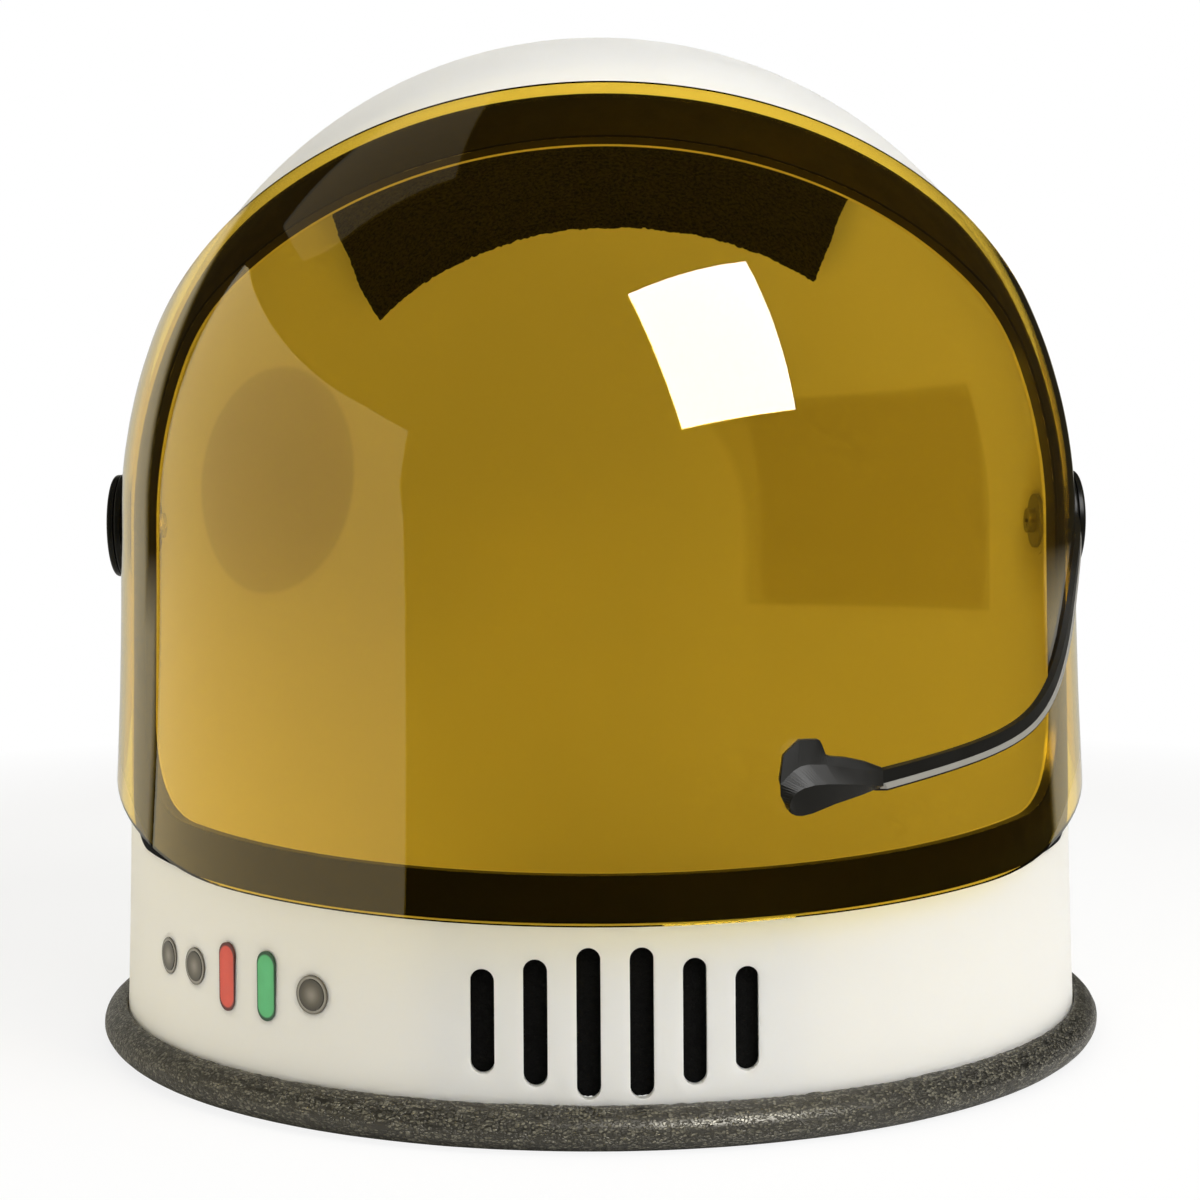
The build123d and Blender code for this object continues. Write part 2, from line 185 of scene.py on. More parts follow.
def dress(name, material):
    """Gives a CAD node its finished material."""
    slots = nodes[name].data.materials
    slots.clear()
    slots.append(material)


# Mesh helpers
def flare_at(height):
    """How far the shell's wall stands out at a height below the pivots."""
    return SHELL_FLARE * max(0, 1 - height / PIVOT_HEIGHT) ** 2


def new_piece(name, points, faces, body, material, uvs=None):
    """A smooth mesh piece that rides on a body."""
    mesh = bpy.data.meshes.new(name)
    mesh.from_pydata(points, [], faces)
    mesh.polygons.foreach_set("use_smooth", [True] * len(mesh.polygons))
    if uvs:
        layer = mesh.uv_layers.new(name="along")
        for loop, corner in zip(mesh.loops, layer.data):
            corner.uv = uvs[loop.vertex_index]
    mesh.update()
    piece = new_object(name, mesh)
    mesh.materials.append(material)
    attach(piece, body)
    return piece


def noise_at(point, scale, seed):
    """Smooth noise of about -1 to 1."""
    return noise.noise(Vector(point) * scale + Vector((seed, seed, seed)))


def waves_at(point, waves):
    """Noise added up over waves, each with its scale, its seed and its height in metres."""
    return sum(noise_at(point, scale, seed) * height for scale, seed, height in waves)


# Foam edge ring: its section's middle, and its unevenness as rows of scale, seed and height
FOAM_MIDDLE = 0.13855
FOAM_LEVEL = 0.005
FOAM_SWELL = ((45, 3, 0.00018), (160, 9, 0.00006))
FOAM_RAGGED_LIP = ((350, 5, 0.00018), (900, 6, 0.0002))


def foam_section():
    """Radius and height of the points of the ring's section, from outer lip round below to inner lip."""
    outer_lip = [
        (0.14, 0.0032), (0.13995, 0.005), (0.13983, 0.0075), (0.13978, 0.0091), (0.1399, 0.0098),
        (0.14025, 0.0102),
    ]
    inner_lip = [
        (0.1368, 0.0102), (0.13655, 0.0098), (0.13663, 0.0091), (0.13672, 0.0075), (0.13682, 0.005),
        (0.1369, 0.0032),
    ]
    half_width, half_height = 0.0077, 0.00545
    first_angle, last_angle = 71, -251
    steps = 46
    soft = 0.0008
    lowest = soft * math.exp(-(FOAM_LEVEL + soft) / soft)
    round_points = []
    for step in range(steps + 1):
        turn = math.radians(first_angle + (last_angle - first_angle) * step / steps)
        height = FOAM_LEVEL + half_height * math.sin(turn)
        if 0 < height < soft:
            height = soft * math.exp((height - soft) / soft) - lowest
        round_points.append((FOAM_MIDDLE + half_width * math.cos(turn), max(height, 0)))
    return outer_lip + round_points + inner_lip


def make_foam_ring():
    """The foam tube round the rim, butted at the back."""
    section = foam_section()
    joint = 0.0003
    steps = 900
    ends = (0.0, 0.0003, 0.0009, 0.002)
    shrink = (0.9, 0.96, 0.99, 1.0)
    outer_side, inner_side = 0.141, 0.136
    lip_radius, lip_height = 0.1396, 0.0095
    circumference = 2 * math.pi * FOAM_MIDDLE - 2 * joint
    between = circumference - 2 * ends[-1]
    stations = list(ends) + [ends[-1] + between * step / steps for step in range(1, steps)]
    stations += [circumference - end for end in reversed(ends)]
    scales = list(shrink) + [1.0] * (steps - 1) + list(reversed(shrink))
    points, uvs, faces = [], [], []
    for station, scale in zip(stations, scales):
        angle = math.pi / 2 + (joint + station) / FOAM_MIDDLE
        along = 0.0
        for index, (radius, height) in enumerate(section):
            if index:
                along += math.dist(section[index - 1], section[index])
            radius = FOAM_MIDDLE + (radius - FOAM_MIDDLE) * scale
            height = FOAM_LEVEL + (height - FOAM_LEVEL) * scale if height > 0 else 0
            spot = (radius * math.cos(angle) * WIDTH_SHARE, radius * math.sin(angle), height)
            outward = 1 if radius > outer_side else -1 if radius < inner_side else 0
            spread = radius + waves_at(spot, FOAM_SWELL) * outward
            if radius > lip_radius and height > lip_height:
                height += waves_at(spot, FOAM_RAGGED_LIP)
            points.append((spread * math.cos(angle) * WIDTH_SHARE, spread * math.sin(angle), height))
            uvs.append((station, along))
    count = len(section)
    for row in range(len(stations) - 1):
        for index in range(count):
            after = (index + 1) % count
            here, there = row * count, (row + 1) * count
            faces.append((here + index, here + after, there + after, there + index))
    faces.append(tuple(reversed(range(count))))
    last = (len(stations) - 1) * count
    faces.append(tuple(last + index for index in range(count)))
    ring = new_piece("edge_foam_ring", points, faces, "root", edge_foam, uvs)
    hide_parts("base_foam")


# Pads: the crown pad's edges seen from above. A row of the rear edge gives how far across and how far back
# it is, and a row of a side edge how far back and how far out.
CROWN_REAR_EDGE = (
    (-0.0704, 0.0770), (-0.0320, 0.0792), (0.0031, 0.0783), (0.0262, 0.0754), (0.0489, 0.0707),
    (0.0726, 0.0636),
)
CROWN_RIGHT_EDGE = ((-0.10, 0.0790), (0.0150, 0.0790), (0.0369, 0.0785), (0.0630, 0.0748), (0.0770, 0.0703))
CROWN_LEFT_EDGE = ((-0.10, 0.0788), (0.0150, 0.0761), (0.0450, 0.0749), (0.0636, 0.0725))
CROWN_FRONT_ANGLE = math.radians(57.3)
CROWN_THICKNESS = 0.009
CROWN_SPREAD = 0.0009
CHIN_THICKNESS = 0.0078
PAD_TUFTS = ((330, 0, 0.0003), (800, 5, 0.0007))
PAD_EDGE_FUZZ = 1.8
PAD_TOWARDS_MIDDLE = 0.97


def behind_shell(size, depth):
    """A size of the dome, drawn in to a depth behind the shell's inside and the pads' clearance."""
    return size - SHELL_WALL - PAD_CLEARANCE - depth


def crown_place(across, share, depth):
    """A point under the dome: across the helmet, share of the way from front to rear, and depth."""
    radius = behind_shell(DOME_RADIUS, depth)
    half_width = behind_shell(DOME_HALF_WIDTH, depth)
    reach = radius * math.sqrt(max(0, 1 - (across / half_width) ** 2))
    front = -reach * math.cos(CROWN_FRONT_ANGLE)
    rear = along_table(CROWN_REAR_EDGE, across) + CROWN_SPREAD
    back = front + (rear - front) * share
    return (across, back, PIVOT_HEIGHT + math.sqrt(reach**2 - back**2))


def chin_place(across, height, depth):
    """A point behind the front wall: across the helmet, height and depth."""
    radius = behind_shell(DOME_RADIUS, depth)
    half_width = behind_shell(DOME_HALF_WIDTH, depth)
    deep = radius + flare_at(height)
    wide = deep * half_width / radius
    return (across, -deep * math.sqrt(max(0, 1 - (across / wide) ** 2)), height)


def make_pad(name, node, place_at, corners, thickness, edge_radius, steps, seed, material):
    """A soft pad with cut sides, rounded edges and a fuzzy face.

    corners turns two shares into two places for place_at and the distance from the pad's edge.
    """
    columns, rows = steps
    points, faces = [], []
    for face in (0, 1):
        for row in range(rows + 1):
            for column in range(columns + 1):
                across, along, from_edge = corners(column / columns, row / rows)
                inward = 1 - min(1, from_edge / edge_radius)
                inset = edge_radius * (1 - math.sqrt(1 - inward**2))
                spot = Vector(place_at(across, along, inset if face == 0 else thickness - inset))
                fuzz = 1 + PAD_EDGE_FUZZ * inward
                rough = sum(
                    abs(noise_at(spot, scale, seed + shift)) * height * fuzz
                    for scale, shift, height in PAD_TUFTS
                )
                if face == 1 or inward > 0:
                    centre = Vector(place_at(across * PAD_TOWARDS_MIDDLE, along, thickness / 2))
                    spot += (centre - spot).normalized() * rough
                points.append(tuple(spot))
    width = columns + 1
    back = width * (rows + 1)
    for row in range(rows):
        for column in range(columns):
            corner = row * width + column
            quad = (corner, corner + 1, corner + width + 1, corner + width)
            faces.append(tuple(reversed(quad)))
            faces.append(tuple(back + index for index in quad))
    rim = list(range(columns))
    rim += [row * width + columns for row in range(rows)]
    rim += [rows * width + column for column in range(columns, 0, -1)]
    rim += [row * width for row in range(rows, 0, -1)]
    for here, there in zip(rim, rim[1:] + rim[:1]):
        faces.append((here, there, back + there, back + here))
    pad = new_piece(name, points, faces, "root", material)
    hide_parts(node)


def along_table(table, value):
    """The second column of a table at a value of its first, straight between its rows."""
    for (low, start), (high, end) in zip(table, table[1:]):
        if value <= high:
            break
    share = min(1, max(0, (value - low) / (high - low)))
    return start + (end - start) * share


def crown_corners(first, second):
    """Across, share from front to rear and distance from the edge for a point of the crown pad."""
    depth = CROWN_THICKNESS / 2
    rough_across = (first - 0.5) * 2 * CROWN_RIGHT_EDGE[0][1]
    front = crown_place(rough_across, 0, depth)[1]
    back = crown_place(rough_across, second, depth)[1]
    length = crown_place(rough_across, 1, depth)[1] - front
    low = -along_table(CROWN_RIGHT_EDGE, back) - CROWN_SPREAD
    high = along_table(CROWN_LEFT_EDGE, back) + CROWN_SPREAD
    across = low + (high - low) * first
    from_side, from_end = min(first, 1 - first) * (high - low), min(second, 1 - second) * length
    rounding = 0.0018
    past_side, past_end = max(0, rounding - from_side), max(0, rounding - from_end)
    if past_side and past_end:
        pull = 1 - max(past_side, past_end) / math.hypot(past_side, past_end)
        across += past_side * pull * (1 if first < 0.5 else -1)
        second += past_end / length * pull * (1 if second < 0.5 else -1)
    return across, second, min(from_side, from_end)


def chin_corners(first, second):
    """Across, height and distance from the edge for a point of the chin pad."""
    low, high, half_width = 0.0110, 0.0548, 0.0418
    height = low + (high - low) * second
    across = (first * 2 - 1) * half_width
    return across, height, min(half_width - abs(across), height - low, high - height)


# Visor
def visor_surface(height, inset):
    """The visor's reach along Y and its share across X at a height, drawn in by an inset."""
    radius = VISOR_RADIUS - inset
    share = (VISOR_HALF_WIDTH - inset) / radius
    if height > PIVOT_HEIGHT:
        return math.sqrt(max(0, radius**2 - (height - PIVOT_HEIGHT) ** 2)), share
    return radius + VISOR_FLARE * (1 - height / PIVOT_HEIGHT) ** 2, share


def visor_normal(point, inset):
    """The exact outward direction of the visor's surface at a point of it."""
    reach, share = visor_surface(point.z, inset)
    if point.z > PIVOT_HEIGHT:
        rise = point.z - PIVOT_HEIGHT
    else:
        rise = reach * 2 * VISOR_FLARE * (1 - point.z / PIVOT_HEIGHT) / PIVOT_HEIGHT
    return Vector((point.x / share**2, point.y, rise)).normalized()


def make_visor_sheet():
    """The visor's own mesh with exact normals, so that what it mirrors keeps straight edges."""
    mesh = nodes["visor"].data.copy()
    slack = 0.0002
    normals = [None] * len(mesh.loops)
    for polygon in mesh.polygons:
        corners = [mesh.vertices[index].co for index in polygon.vertices]
        inset = None
        for trial in (0.0, VISOR_WALL):
            if all(abs(from_visor(corner, trial)) < slack for corner in corners):
                inset = trial
        for loop, corner in zip(polygon.loop_indices, corners):
            if inset is None:
                normals[loop] = polygon.normal.copy()
                continue
            exact = visor_normal(corner, inset)
            normals[loop] = exact if exact.dot(polygon.normal) > 0 else -exact
    mesh.normals_split_custom_set(normals)
    sheet = new_object("visor_sheet", mesh)
    mesh.materials.clear()
    mesh.materials.append(gold_visor)
    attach(sheet, "visor")
    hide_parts("visor")


def from_visor(point, inset):
    """How far a point stands out from the visor's surface, along Y."""
    reach, share = visor_surface(point.z, inset)
    return math.hypot(point.x / share, point.y) - reach


# Microphone capsule
def on_visor(across, height, lift):
    """A point in front of the visor's outer face."""
    reach, share = visor_surface(height, -lift)
    return (across, -math.sqrt(reach**2 - (across / share) ** 2), height)


def resample(line, count):
    """Points evenly spaced along a polyline of three-number points."""
    lengths = [0.0]
    for first, second in zip(line, line[1:]):
        lengths.append(lengths[-1] + math.dist(first, second))
    result, span_index = [], 0
    for step in range(count + 1):
        goal = lengths[-1] * step / count
        while span_index < len(line) - 2 and lengths[span_index + 1] < goal:
            span_index += 1
        share = (goal - lengths[span_index]) / (lengths[span_index + 1] - lengths[span_index])
        first, second = line[span_index], line[span_index + 1]
        result.append(tuple(start + (end - start) * share for start, end in zip(first, second)))
    return result


def make_capsule():
    """The faceted microphone: an upper block, a chamfer that meets it in a crease, and a lower facet."""
    top = [
        (0.0372, 0.0827), (0.0372, 0.0840), (0.0377, 0.0868), (0.0380, 0.0890), (0.0394, 0.0904),
        (0.0419, 0.0925), (0.0466, 0.0924), (0.0472, 0.0914), (0.0482, 0.0888), (0.0493, 0.0884),
        (0.0531, 0.0879), (0.0576, 0.0868), (0.0621, 0.0850),
    ]
    crease = [
        (0.0388, 0.0771), (0.0373, 0.0801), (0.0372, 0.0827), (0.0385, 0.0839), (0.0402, 0.0855),
        (0.0419, 0.0865), (0.0438, 0.0869), (0.0481, 0.0867), (0.0547, 0.0854), (0.0621, 0.0843),
    ]
    ridge = [
        (0.0389, 0.0770), (0.0393, 0.0787), (0.0399, 0.0800), (0.0409, 0.0810), (0.0425, 0.0818),
        (0.0452, 0.0824), (0.0481, 0.0825), (0.0547, 0.0821), (0.0618, 0.0812),
    ]
    bottom = [
        (0.0388, 0.0771), (0.0397, 0.0761), (0.0409, 0.0756), (0.0423, 0.0755), (0.0447, 0.0759),
        (0.0501, 0.0777), (0.0567, 0.0794), (0.0617, 0.0809),
    ]
    steps = 48
    weld, sliver = 0.00002, 0.00001
    lifts = ((top, 0.0024), (crease, 0.0030), (ridge, 0.0049), (bottom, 0.0036))
    lines = [resample([(*point, lift) for point in line], steps) for line, lift in lifts]
    lines[0][0] = lines[1][0]
    points, faces = [], []
    for line in lines:
        points += [on_visor(*point) for point in line]
    seat = 0.00005
    for line in (lines[0], lines[3]):
        points += [on_visor(across, height, seat) for across, height, lift in line]
    row = steps + 1
    upper_wall, lower_wall = 4 * row, 5 * row
    for step in range(steps):
        for strip in range(3):
            here, below = strip * row + step, (strip + 1) * row + step
            faces.append((here, below, below + 1, here + 1))
        faces.append((step, step + 1, upper_wall + step + 1, upper_wall + step))
        low = 3 * row + step
        faces.append((low + 1, low, lower_wall + step, lower_wall + step + 1))
        faces.append((upper_wall + step, upper_wall + step + 1, lower_wall + step + 1, lower_wall + step))
    ends = [strip * row + steps for strip in range(4)]
    faces.append((*ends, lower_wall + steps, upper_wall + steps))
    shape = bmesh.new()
    for point in points:
        shape.verts.new(point)
    shape.verts.ensure_lookup_table()
    for face in faces:
        shape.faces.new([shape.verts[index] for index in face])
    bmesh.ops.remove_doubles(shape, verts=shape.verts, dist=weld)
    bmesh.ops.dissolve_degenerate(shape, edges=shape.edges, dist=sliver)
    bmesh.ops.recalc_face_normals(shape, faces=shape.faces)
    mesh = bpy.data.meshes.new("microphone")
    shape.to_mesh(mesh)
    shape.free()
    mesh.materials.append(black_satin)
    capsule = new_object("microphone", mesh)
    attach(capsule, "visor")
    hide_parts("mic_capsule")


# Materials
def plastic(name, colour, second_colour, roughness, specular=0.5):
    """Moulded plastic: a slight mottle in colour and gloss, and a fine orange peel."""
    material, tree = new_tree(name)
    mottle, peel = 40.0, 900.0
    cloud = grain(tree, mottle, 4)
    shade = mix_colours(tree, cloud, colour, second_colour)
    rough = span(tree, grain(tree, mottle * 3, 3), 0.3, 0.7, roughness * 0.85, roughness * 1.15)
    skin = bump(tree, grain(tree, peel, 2), 0.00002, 0.5)
    shader = add_node(
        tree, "ShaderNodeBsdfPrincipled", Base_Color=shade, Roughness=rough, Normal=skin,
        Specular_IOR_Level=specular,
    )
    output(tree, shader.outputs[0])
    return material


def behind_patches(tree, parts):
    """Where the shell's wall has a patch on its outer face, 0 to 1; it places the painted patch shadows on
    the inner face.
    """
    soft = 0.0008
    low, high = (Vector(corner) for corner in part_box("round_patch"))
    middle, radius = (low + high) / 2, (high.z - low.z) / 2
    reach = vector_maths(tree, "DISTANCE", place(tree), middle)["Value"]
    covered = span(tree, reach, radius + soft, radius - soft)
    low, high = (Vector(corner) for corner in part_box("striped_patch"))
    share = maths(tree, "GREATER_THAN", maths(tree, "MULTIPLY", parts[0], 1 if low.x > 0 else -1), 0.0)
    for axis in (1, 2):
        middle, half = (low[axis] + high[axis]) / 2, (high[axis] - low[axis]) / 2
        away = maths(tree, "ABSOLUTE", maths(tree, "SUBTRACT", parts[axis], middle))
        share = maths(tree, "MULTIPLY", share, span(tree, away, half + soft, half - soft))
    return maths(tree, "MAXIMUM", covered, share)


def shell_material():
    """Warm white translucent plastic: black on the opening's cut edge, and a painted shadow inside behind
    each patch.
    """
    material, tree = new_tree("white_shell")
    edge_middle, edge_half = SHELL_WALL * 0.35, SHELL_WALL * 0.43
    steepest, rearmost = 0.6, 0.01
    inner_face = SHELL_WALL * 0.8
    cloud = grain(tree, 9, 3)
    shade = mix_colours(tree, cloud, (0.925, 0.9, 0.84), (0.9, 0.875, 0.815))
    parts = add_node(tree, "ShaderNodeSeparateXYZ", Vector=place(tree)).outputs
    from_axis = maths(tree, "MULTIPLY", parts[0], 1 / WIDTH_SHARE)
    above = maths(tree, "MAXIMUM", maths(tree, "SUBTRACT", parts[2], PIVOT_HEIGHT), 0.0)
    spot = add_node(tree, "ShaderNodeCombineXYZ", X=from_axis, Y=parts[1], Z=above).outputs[0]
    reach = vector_maths(tree, "LENGTH", spot)["Value"]
    below = span(tree, parts[2], PIVOT_HEIGHT, 0.0)
    flare = maths(tree, "MULTIPLY", maths(tree, "MULTIPLY", below, below), SHELL_FLARE)
    depth = maths(tree, "SUBTRACT", maths(tree, "ADD", flare, DOME_RADIUS), reach)
    in_wall = maths(tree, "COMPARE", depth, edge_middle, edge_half)
    outward = vector_maths(tree, "NORMALIZE", spot)["Vector"]
    face = add_node(tree, "ShaderNodeNewGeometry").outputs["True Normal"]
    facing = vector_maths(tree, "DOT_PRODUCT", outward, face)["Value"]
    on_edge = maths(tree, "LESS_THAN", maths(tree, "ABSOLUTE", facing), steepest)
    painted = maths(tree, "MULTIPLY", in_wall, on_edge)
    painted = maths(tree, "MULTIPLY", painted, maths(tree, "GREATER_THAN", parts[2], OPENING_BOTTOM))
    painted = maths(tree, "MULTIPLY", painted, maths(tree, "LESS_THAN", parts[1], rearmost))
    shade = mix_colours(tree, painted, shade, (0.003, 0.003, 0.003))
    # Painted shadow: the inner face behind each patch is darker. This adds to the real shadow that the
    # wall's scattering carries through.
    inside = maths(tree, "GREATER_THAN", depth, inner_face)
    painted_patch_shadow = maths(tree, "MULTIPLY", inside, behind_patches(tree, parts))
    shade = mix_colours(tree, painted_patch_shadow, shade, (0.79, 0.76, 0.69))
    rough = span(tree, grain(tree, 70, 4), 0.3, 0.7, 0.32, 0.42)
    waves = bump(tree, grain(tree, 30, 1), 0.0001, 0.35)
    skin = bump(tree, grain(tree, 1200, 2), 0.000012, 0.5, waves)
    shader = add_node(
        tree, "ShaderNodeBsdfPrincipled", Base_Color=shade, Roughness=rough, Normal=skin,
        Subsurface_Weight=1.0, Subsurface_Scale=0.006, Subsurface_Radius=(1.0, 0.97, 0.9), IOR=1.46,
    )
    output(tree, shader.outputs[0])
    return material


def visor_material():
    """Gold-tinted clear sheet with a trace of haze."""
    material, tree = new_tree("gold_visor")
    haze = span(tree, grain(tree, 60, 5, 0.6), 0.45, 0.8, 0.0, 0.004)
    sheet = add_node(
        tree, "ShaderNodeBsdfPrincipled", Base_Color=(0.98, 0.67, 0.07, 1), Roughness=haze, IOR=1.5,
        Transmission_Weight=1.0,
    )
    let_light_through(tree, sheet.outputs[0], (0.98, 0.91, 0.62))
    return material


def foam_material():
    """Dark closed-cell foam: flat-topped cells drawn out along the ring between creases, with painted shade
    in the creases and painted glints on random cells.
    """
    material, tree = new_tree("edge_foam")
    bend = (0.0011, 0.0011, 0)
    cell_scale, crease_scale = (1150, 1800, 1), (130, 800, 1)
    flat = {"noise_dimensions": "2D"}
    along = add_node(tree, "ShaderNodeUVMap", {"uv_map": "along"}).outputs["UV"]
    push = add_node(tree, "ShaderNodeTexNoise", flat, Vector=along, Scale=420, Detail=3).outputs["Color"]
    bent = vector_maths(tree, "MULTIPLY_ADD", push, bend, along)["Vector"]
    cells_at = add_node(tree, "ShaderNodeMapping", Vector=bent, Scale=cell_scale).outputs[0]
    cells = add_node(
        tree, "ShaderNodeTexVoronoi", {"feature": "F1", "voronoi_dimensions": "2D"}, Vector=cells_at,
        Scale=1.0,
    )
    creases_at = add_node(tree, "ShaderNodeMapping", Vector=bent, Scale=crease_scale).outputs[0]
    creases = add_node(
        tree, "ShaderNodeTexNoise", flat, Vector=creases_at, Scale=1.0, Detail=4, Roughness=0.7
    ).outputs["Fac"]
    tone = add_node(tree, "ShaderNodeSeparateColor", Color=cells.outputs["Color"]).outputs[0]
    plateau = span(tree, cells.outputs["Distance"], 0.6, 0.36)
    solid = maths(tree, "MULTIPLY", plateau, span(tree, creases, 0.38, 0.48))
    # Painted glints: cells picked at random are made much paler.
    painted_glints = maths(tree, "MULTIPLY", solid, span(tree, tone, 0.4, 1.05))
    # Painted shade: the creases and the joins between cells are darker than the cell tops.
    skin = mix_colours(tree, solid, (0.001, 0.0009, 0.0006), (0.013, 0.0122, 0.008))
    shade = mix_colours(tree, painted_glints, skin, (0.2, 0.188, 0.14))
    rough = span(tree, tone, 0.0, 1.0, 0.5, 0.34)
    shader = add_node(
        tree, "ShaderNodeBsdfPrincipled", Base_Color=shade, Roughness=rough,
        Normal=bump(tree, solid, 0.00018), Specular_IOR_Level=0.8, Specular_Tint=(1.0, 0.95, 0.82, 1),
    )
    output(tree, shader.outputs[0])
    return material


def pad_material(name, dark, light):
    """Black brushed foam."""
    material, tree = new_tree(name)
    tufts = grain(tree, 900, 5, 0.7)
    shade = mix_colours(tree, span(tree, tufts, 0.35, 0.65), dark, light)
    shader = add_node(
        tree, "ShaderNodeBsdfPrincipled", Base_Color=shade, Roughness=0.95,
        Normal=bump(tree, tufts, 0.0012, 0.8), Specular_IOR_Level=0.06, Sheen_Weight=0.03,
        Sheen_Roughness=0.5,
    )
    output(tree, shader.outputs[0])
    return material


def metal(name, colour, roughness):
    """Plated metal with a fine grain."""
    material, tree = new_tree(name)
    lines = grain(tree, 900, 3)
    rough = span(tree, lines, 0.3, 0.7, roughness * 0.8, roughness * 1.25)
    darker = tuple(channel * 0.88 for channel in colour)
    shade = mix_colours(tree, grain(tree, 80, 3), colour, darker)
    shader = add_node(
        tree, "ShaderNodeBsdfPrincipled", Base_Color=shade, Metallic=1.0, Roughness=rough,
        Normal=bump(tree, lines, 0.00002, 0.4),
    )
    output(tree, shader.outputs[0])
    return material


def islands(name):
    """The separate solids of a CAD node, each as a list of its points."""
    mesh = nodes[name].data
    shape = bmesh.new()
    shape.from_mesh(mesh)
    bmesh.ops.remove_doubles(shape, verts=shape.verts, dist=0.00001)
    left, found = set(shape.verts), []
    while left:
        edge_of_search, points = [left.pop()], []
        while edge_of_search:
            corner = edge_of_search.pop()
            points.append(corner.co.copy())
            for edge in corner.link_edges:
                other = edge.other_vert(corner)
                if other in left:
                    left.remove(other)
                    edge_of_search.append(other)
        found.append(points)
    shape.free()
    return found


def lens(name, node, bands):
    """Glossy plastic in rings: a colour for each share of the way from a light's middle to its edge."""
    material, tree = new_tree(name)
    shares = []
    for points in islands(node):
        low = Vector(min(point[axis] for point in points) for axis in range(3))
        high = Vector(max(point[axis] for point in points) for axis in range(3))
        middle = (low + high) / 2
        half_width = math.hypot(high.x - low.x, high.y - low.y) / 2
        half_line = max(0, (high.z - low.z) / 2 - half_width)
        offset = vector_maths(tree, "SUBTRACT", place(tree), middle)["Vector"]
        parts = add_node(tree, "ShaderNodeSeparateXYZ", Vector=offset).outputs
        past_line = maths(tree, "SUBTRACT", maths(tree, "ABSOLUTE", parts[2]), half_line)
        past_line = maths(tree, "MAXIMUM", past_line, 0.0)
        flat = add_node(tree, "ShaderNodeCombineXYZ", X=parts[0], Y=parts[1], Z=past_line).outputs[0]
        reach = vector_maths(tree, "LENGTH", flat)["Value"]
        shares.append(maths(tree, "DIVIDE", reach, half_width))
    share = shares[0]
    for other in shares[1:]:
        share = maths(tree, "MINIMUM", share, other)
    shade = bands[0][1]
    for (start, first), (end, second) in zip(bands, bands[1:]):
        shade = mix_colours(tree, span(tree, share, start, end), shade, second)
    cloud = span(tree, grain(tree, 300, 3), 0.3, 0.7, 0.92, 1.0)
    shade = mix_colours(tree, cloud, (0.0, 0.0, 0.0), shade)
    rough = span(tree, grain(tree, 500, 3), 0.3, 0.7, 0.3, 0.42)
    shader = add_node(
        tree, "ShaderNodeBsdfPrincipled", Base_Color=shade, Roughness=rough,
        Normal=bump(tree, grain(tree, 900, 2), 0.00001, 0.5),
    )
    output(tree, shader.outputs[0])
    return material


def thin_cloth(tree, shade, height):
    """Woven cloth thin enough to let light through to the wall behind it."""
    cloth = add_node(
        tree, "ShaderNodeBsdfPrincipled", Base_Color=shade, Roughness=0.8,
        Normal=bump(tree, height, 0.0002, 0.7), Sheen_Weight=0.15, Sheen_Roughness=0.5,
    )
    let_light_through(tree, cloth.outputs[0], (0.72, 0.71, 0.66))


def stitches(tree):
    """Short slanted stitches on the shell's side, 0 to 1."""
    slant, stitch_scale = math.radians(35), (1700, 480, 1)
    parts = add_node(tree, "ShaderNodeSeparateXYZ", Vector=place(tree)).outputs
    along = maths(tree, "MULTIPLY", maths(tree, "ARCTAN2", parts[0], parts[1]), DOME_RADIUS)
    flat = add_node(tree, "ShaderNodeCombineXYZ", X=along, Y=parts[2]).outputs[0]
    slanted = add_node(tree, "ShaderNodeMapping", Vector=flat, Rotation=(0, 0, slant), Scale=stitch_scale)
    rows = add_node(
        tree, "ShaderNodeTexNoise", {"noise_dimensions": "2D"}, Vector=slanted.outputs[0], Scale=1.0,
        Detail=2,
    )
    return span(tree, rows.outputs["Fac"], 0.3, 0.7)


def round_patch_material():
    """A plain round cloth patch with a stitched rim."""
    material, tree = new_tree("blue_patch")
    low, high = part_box("round_patch")
    middle = (Vector(low) + Vector(high)) / 2
    radius = (high[2] - low[2]) / 2
    reach = vector_maths(tree, "DISTANCE", place(tree), middle)["Value"]
    rim = span(tree, maths(tree, "DIVIDE", reach, radius), 0.9, 0.92)
    rows = stitches(tree)
    inner = mix_colours(tree, rows, (0.04, 0.075, 0.2), (0.065, 0.11, 0.27))
    threads = mix_colours(tree, grain(tree, 1500, 3), (0.5, 0.49, 0.45), (0.66, 0.65, 0.6))
    thin_cloth(tree, mix_colours(tree, rim, inner, threads), rows)
    return material


def striped_patch_material():
    """A cloth patch in even bands of two close reds."""
    material, tree = new_tree("striped_patch")
    low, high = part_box("striped_patch")
    height = add_node(tree, "ShaderNodeSeparateXYZ", Vector=place(tree)).outputs["Z"]
    from_bottom = maths(tree, "DIVIDE", maths(tree, "SUBTRACT", height, low[2]), high[2] - low[2])
    bands = 4.5
    band = maths(tree, "FRACT", maths(tree, "MULTIPLY", from_bottom, bands))
    dark = maths(tree, "GREATER_THAN", band, 0.5)
    rows = stitches(tree)
    light_red = mix_colours(tree, rows, (0.42, 0.065, 0.05), (0.52, 0.09, 0.07))
    dark_red = mix_colours(tree, rows, (0.26, 0.035, 0.03), (0.33, 0.05, 0.04))
    thin_cloth(tree, mix_colours(tree, dark, light_red, dark_red), rows)
    return material


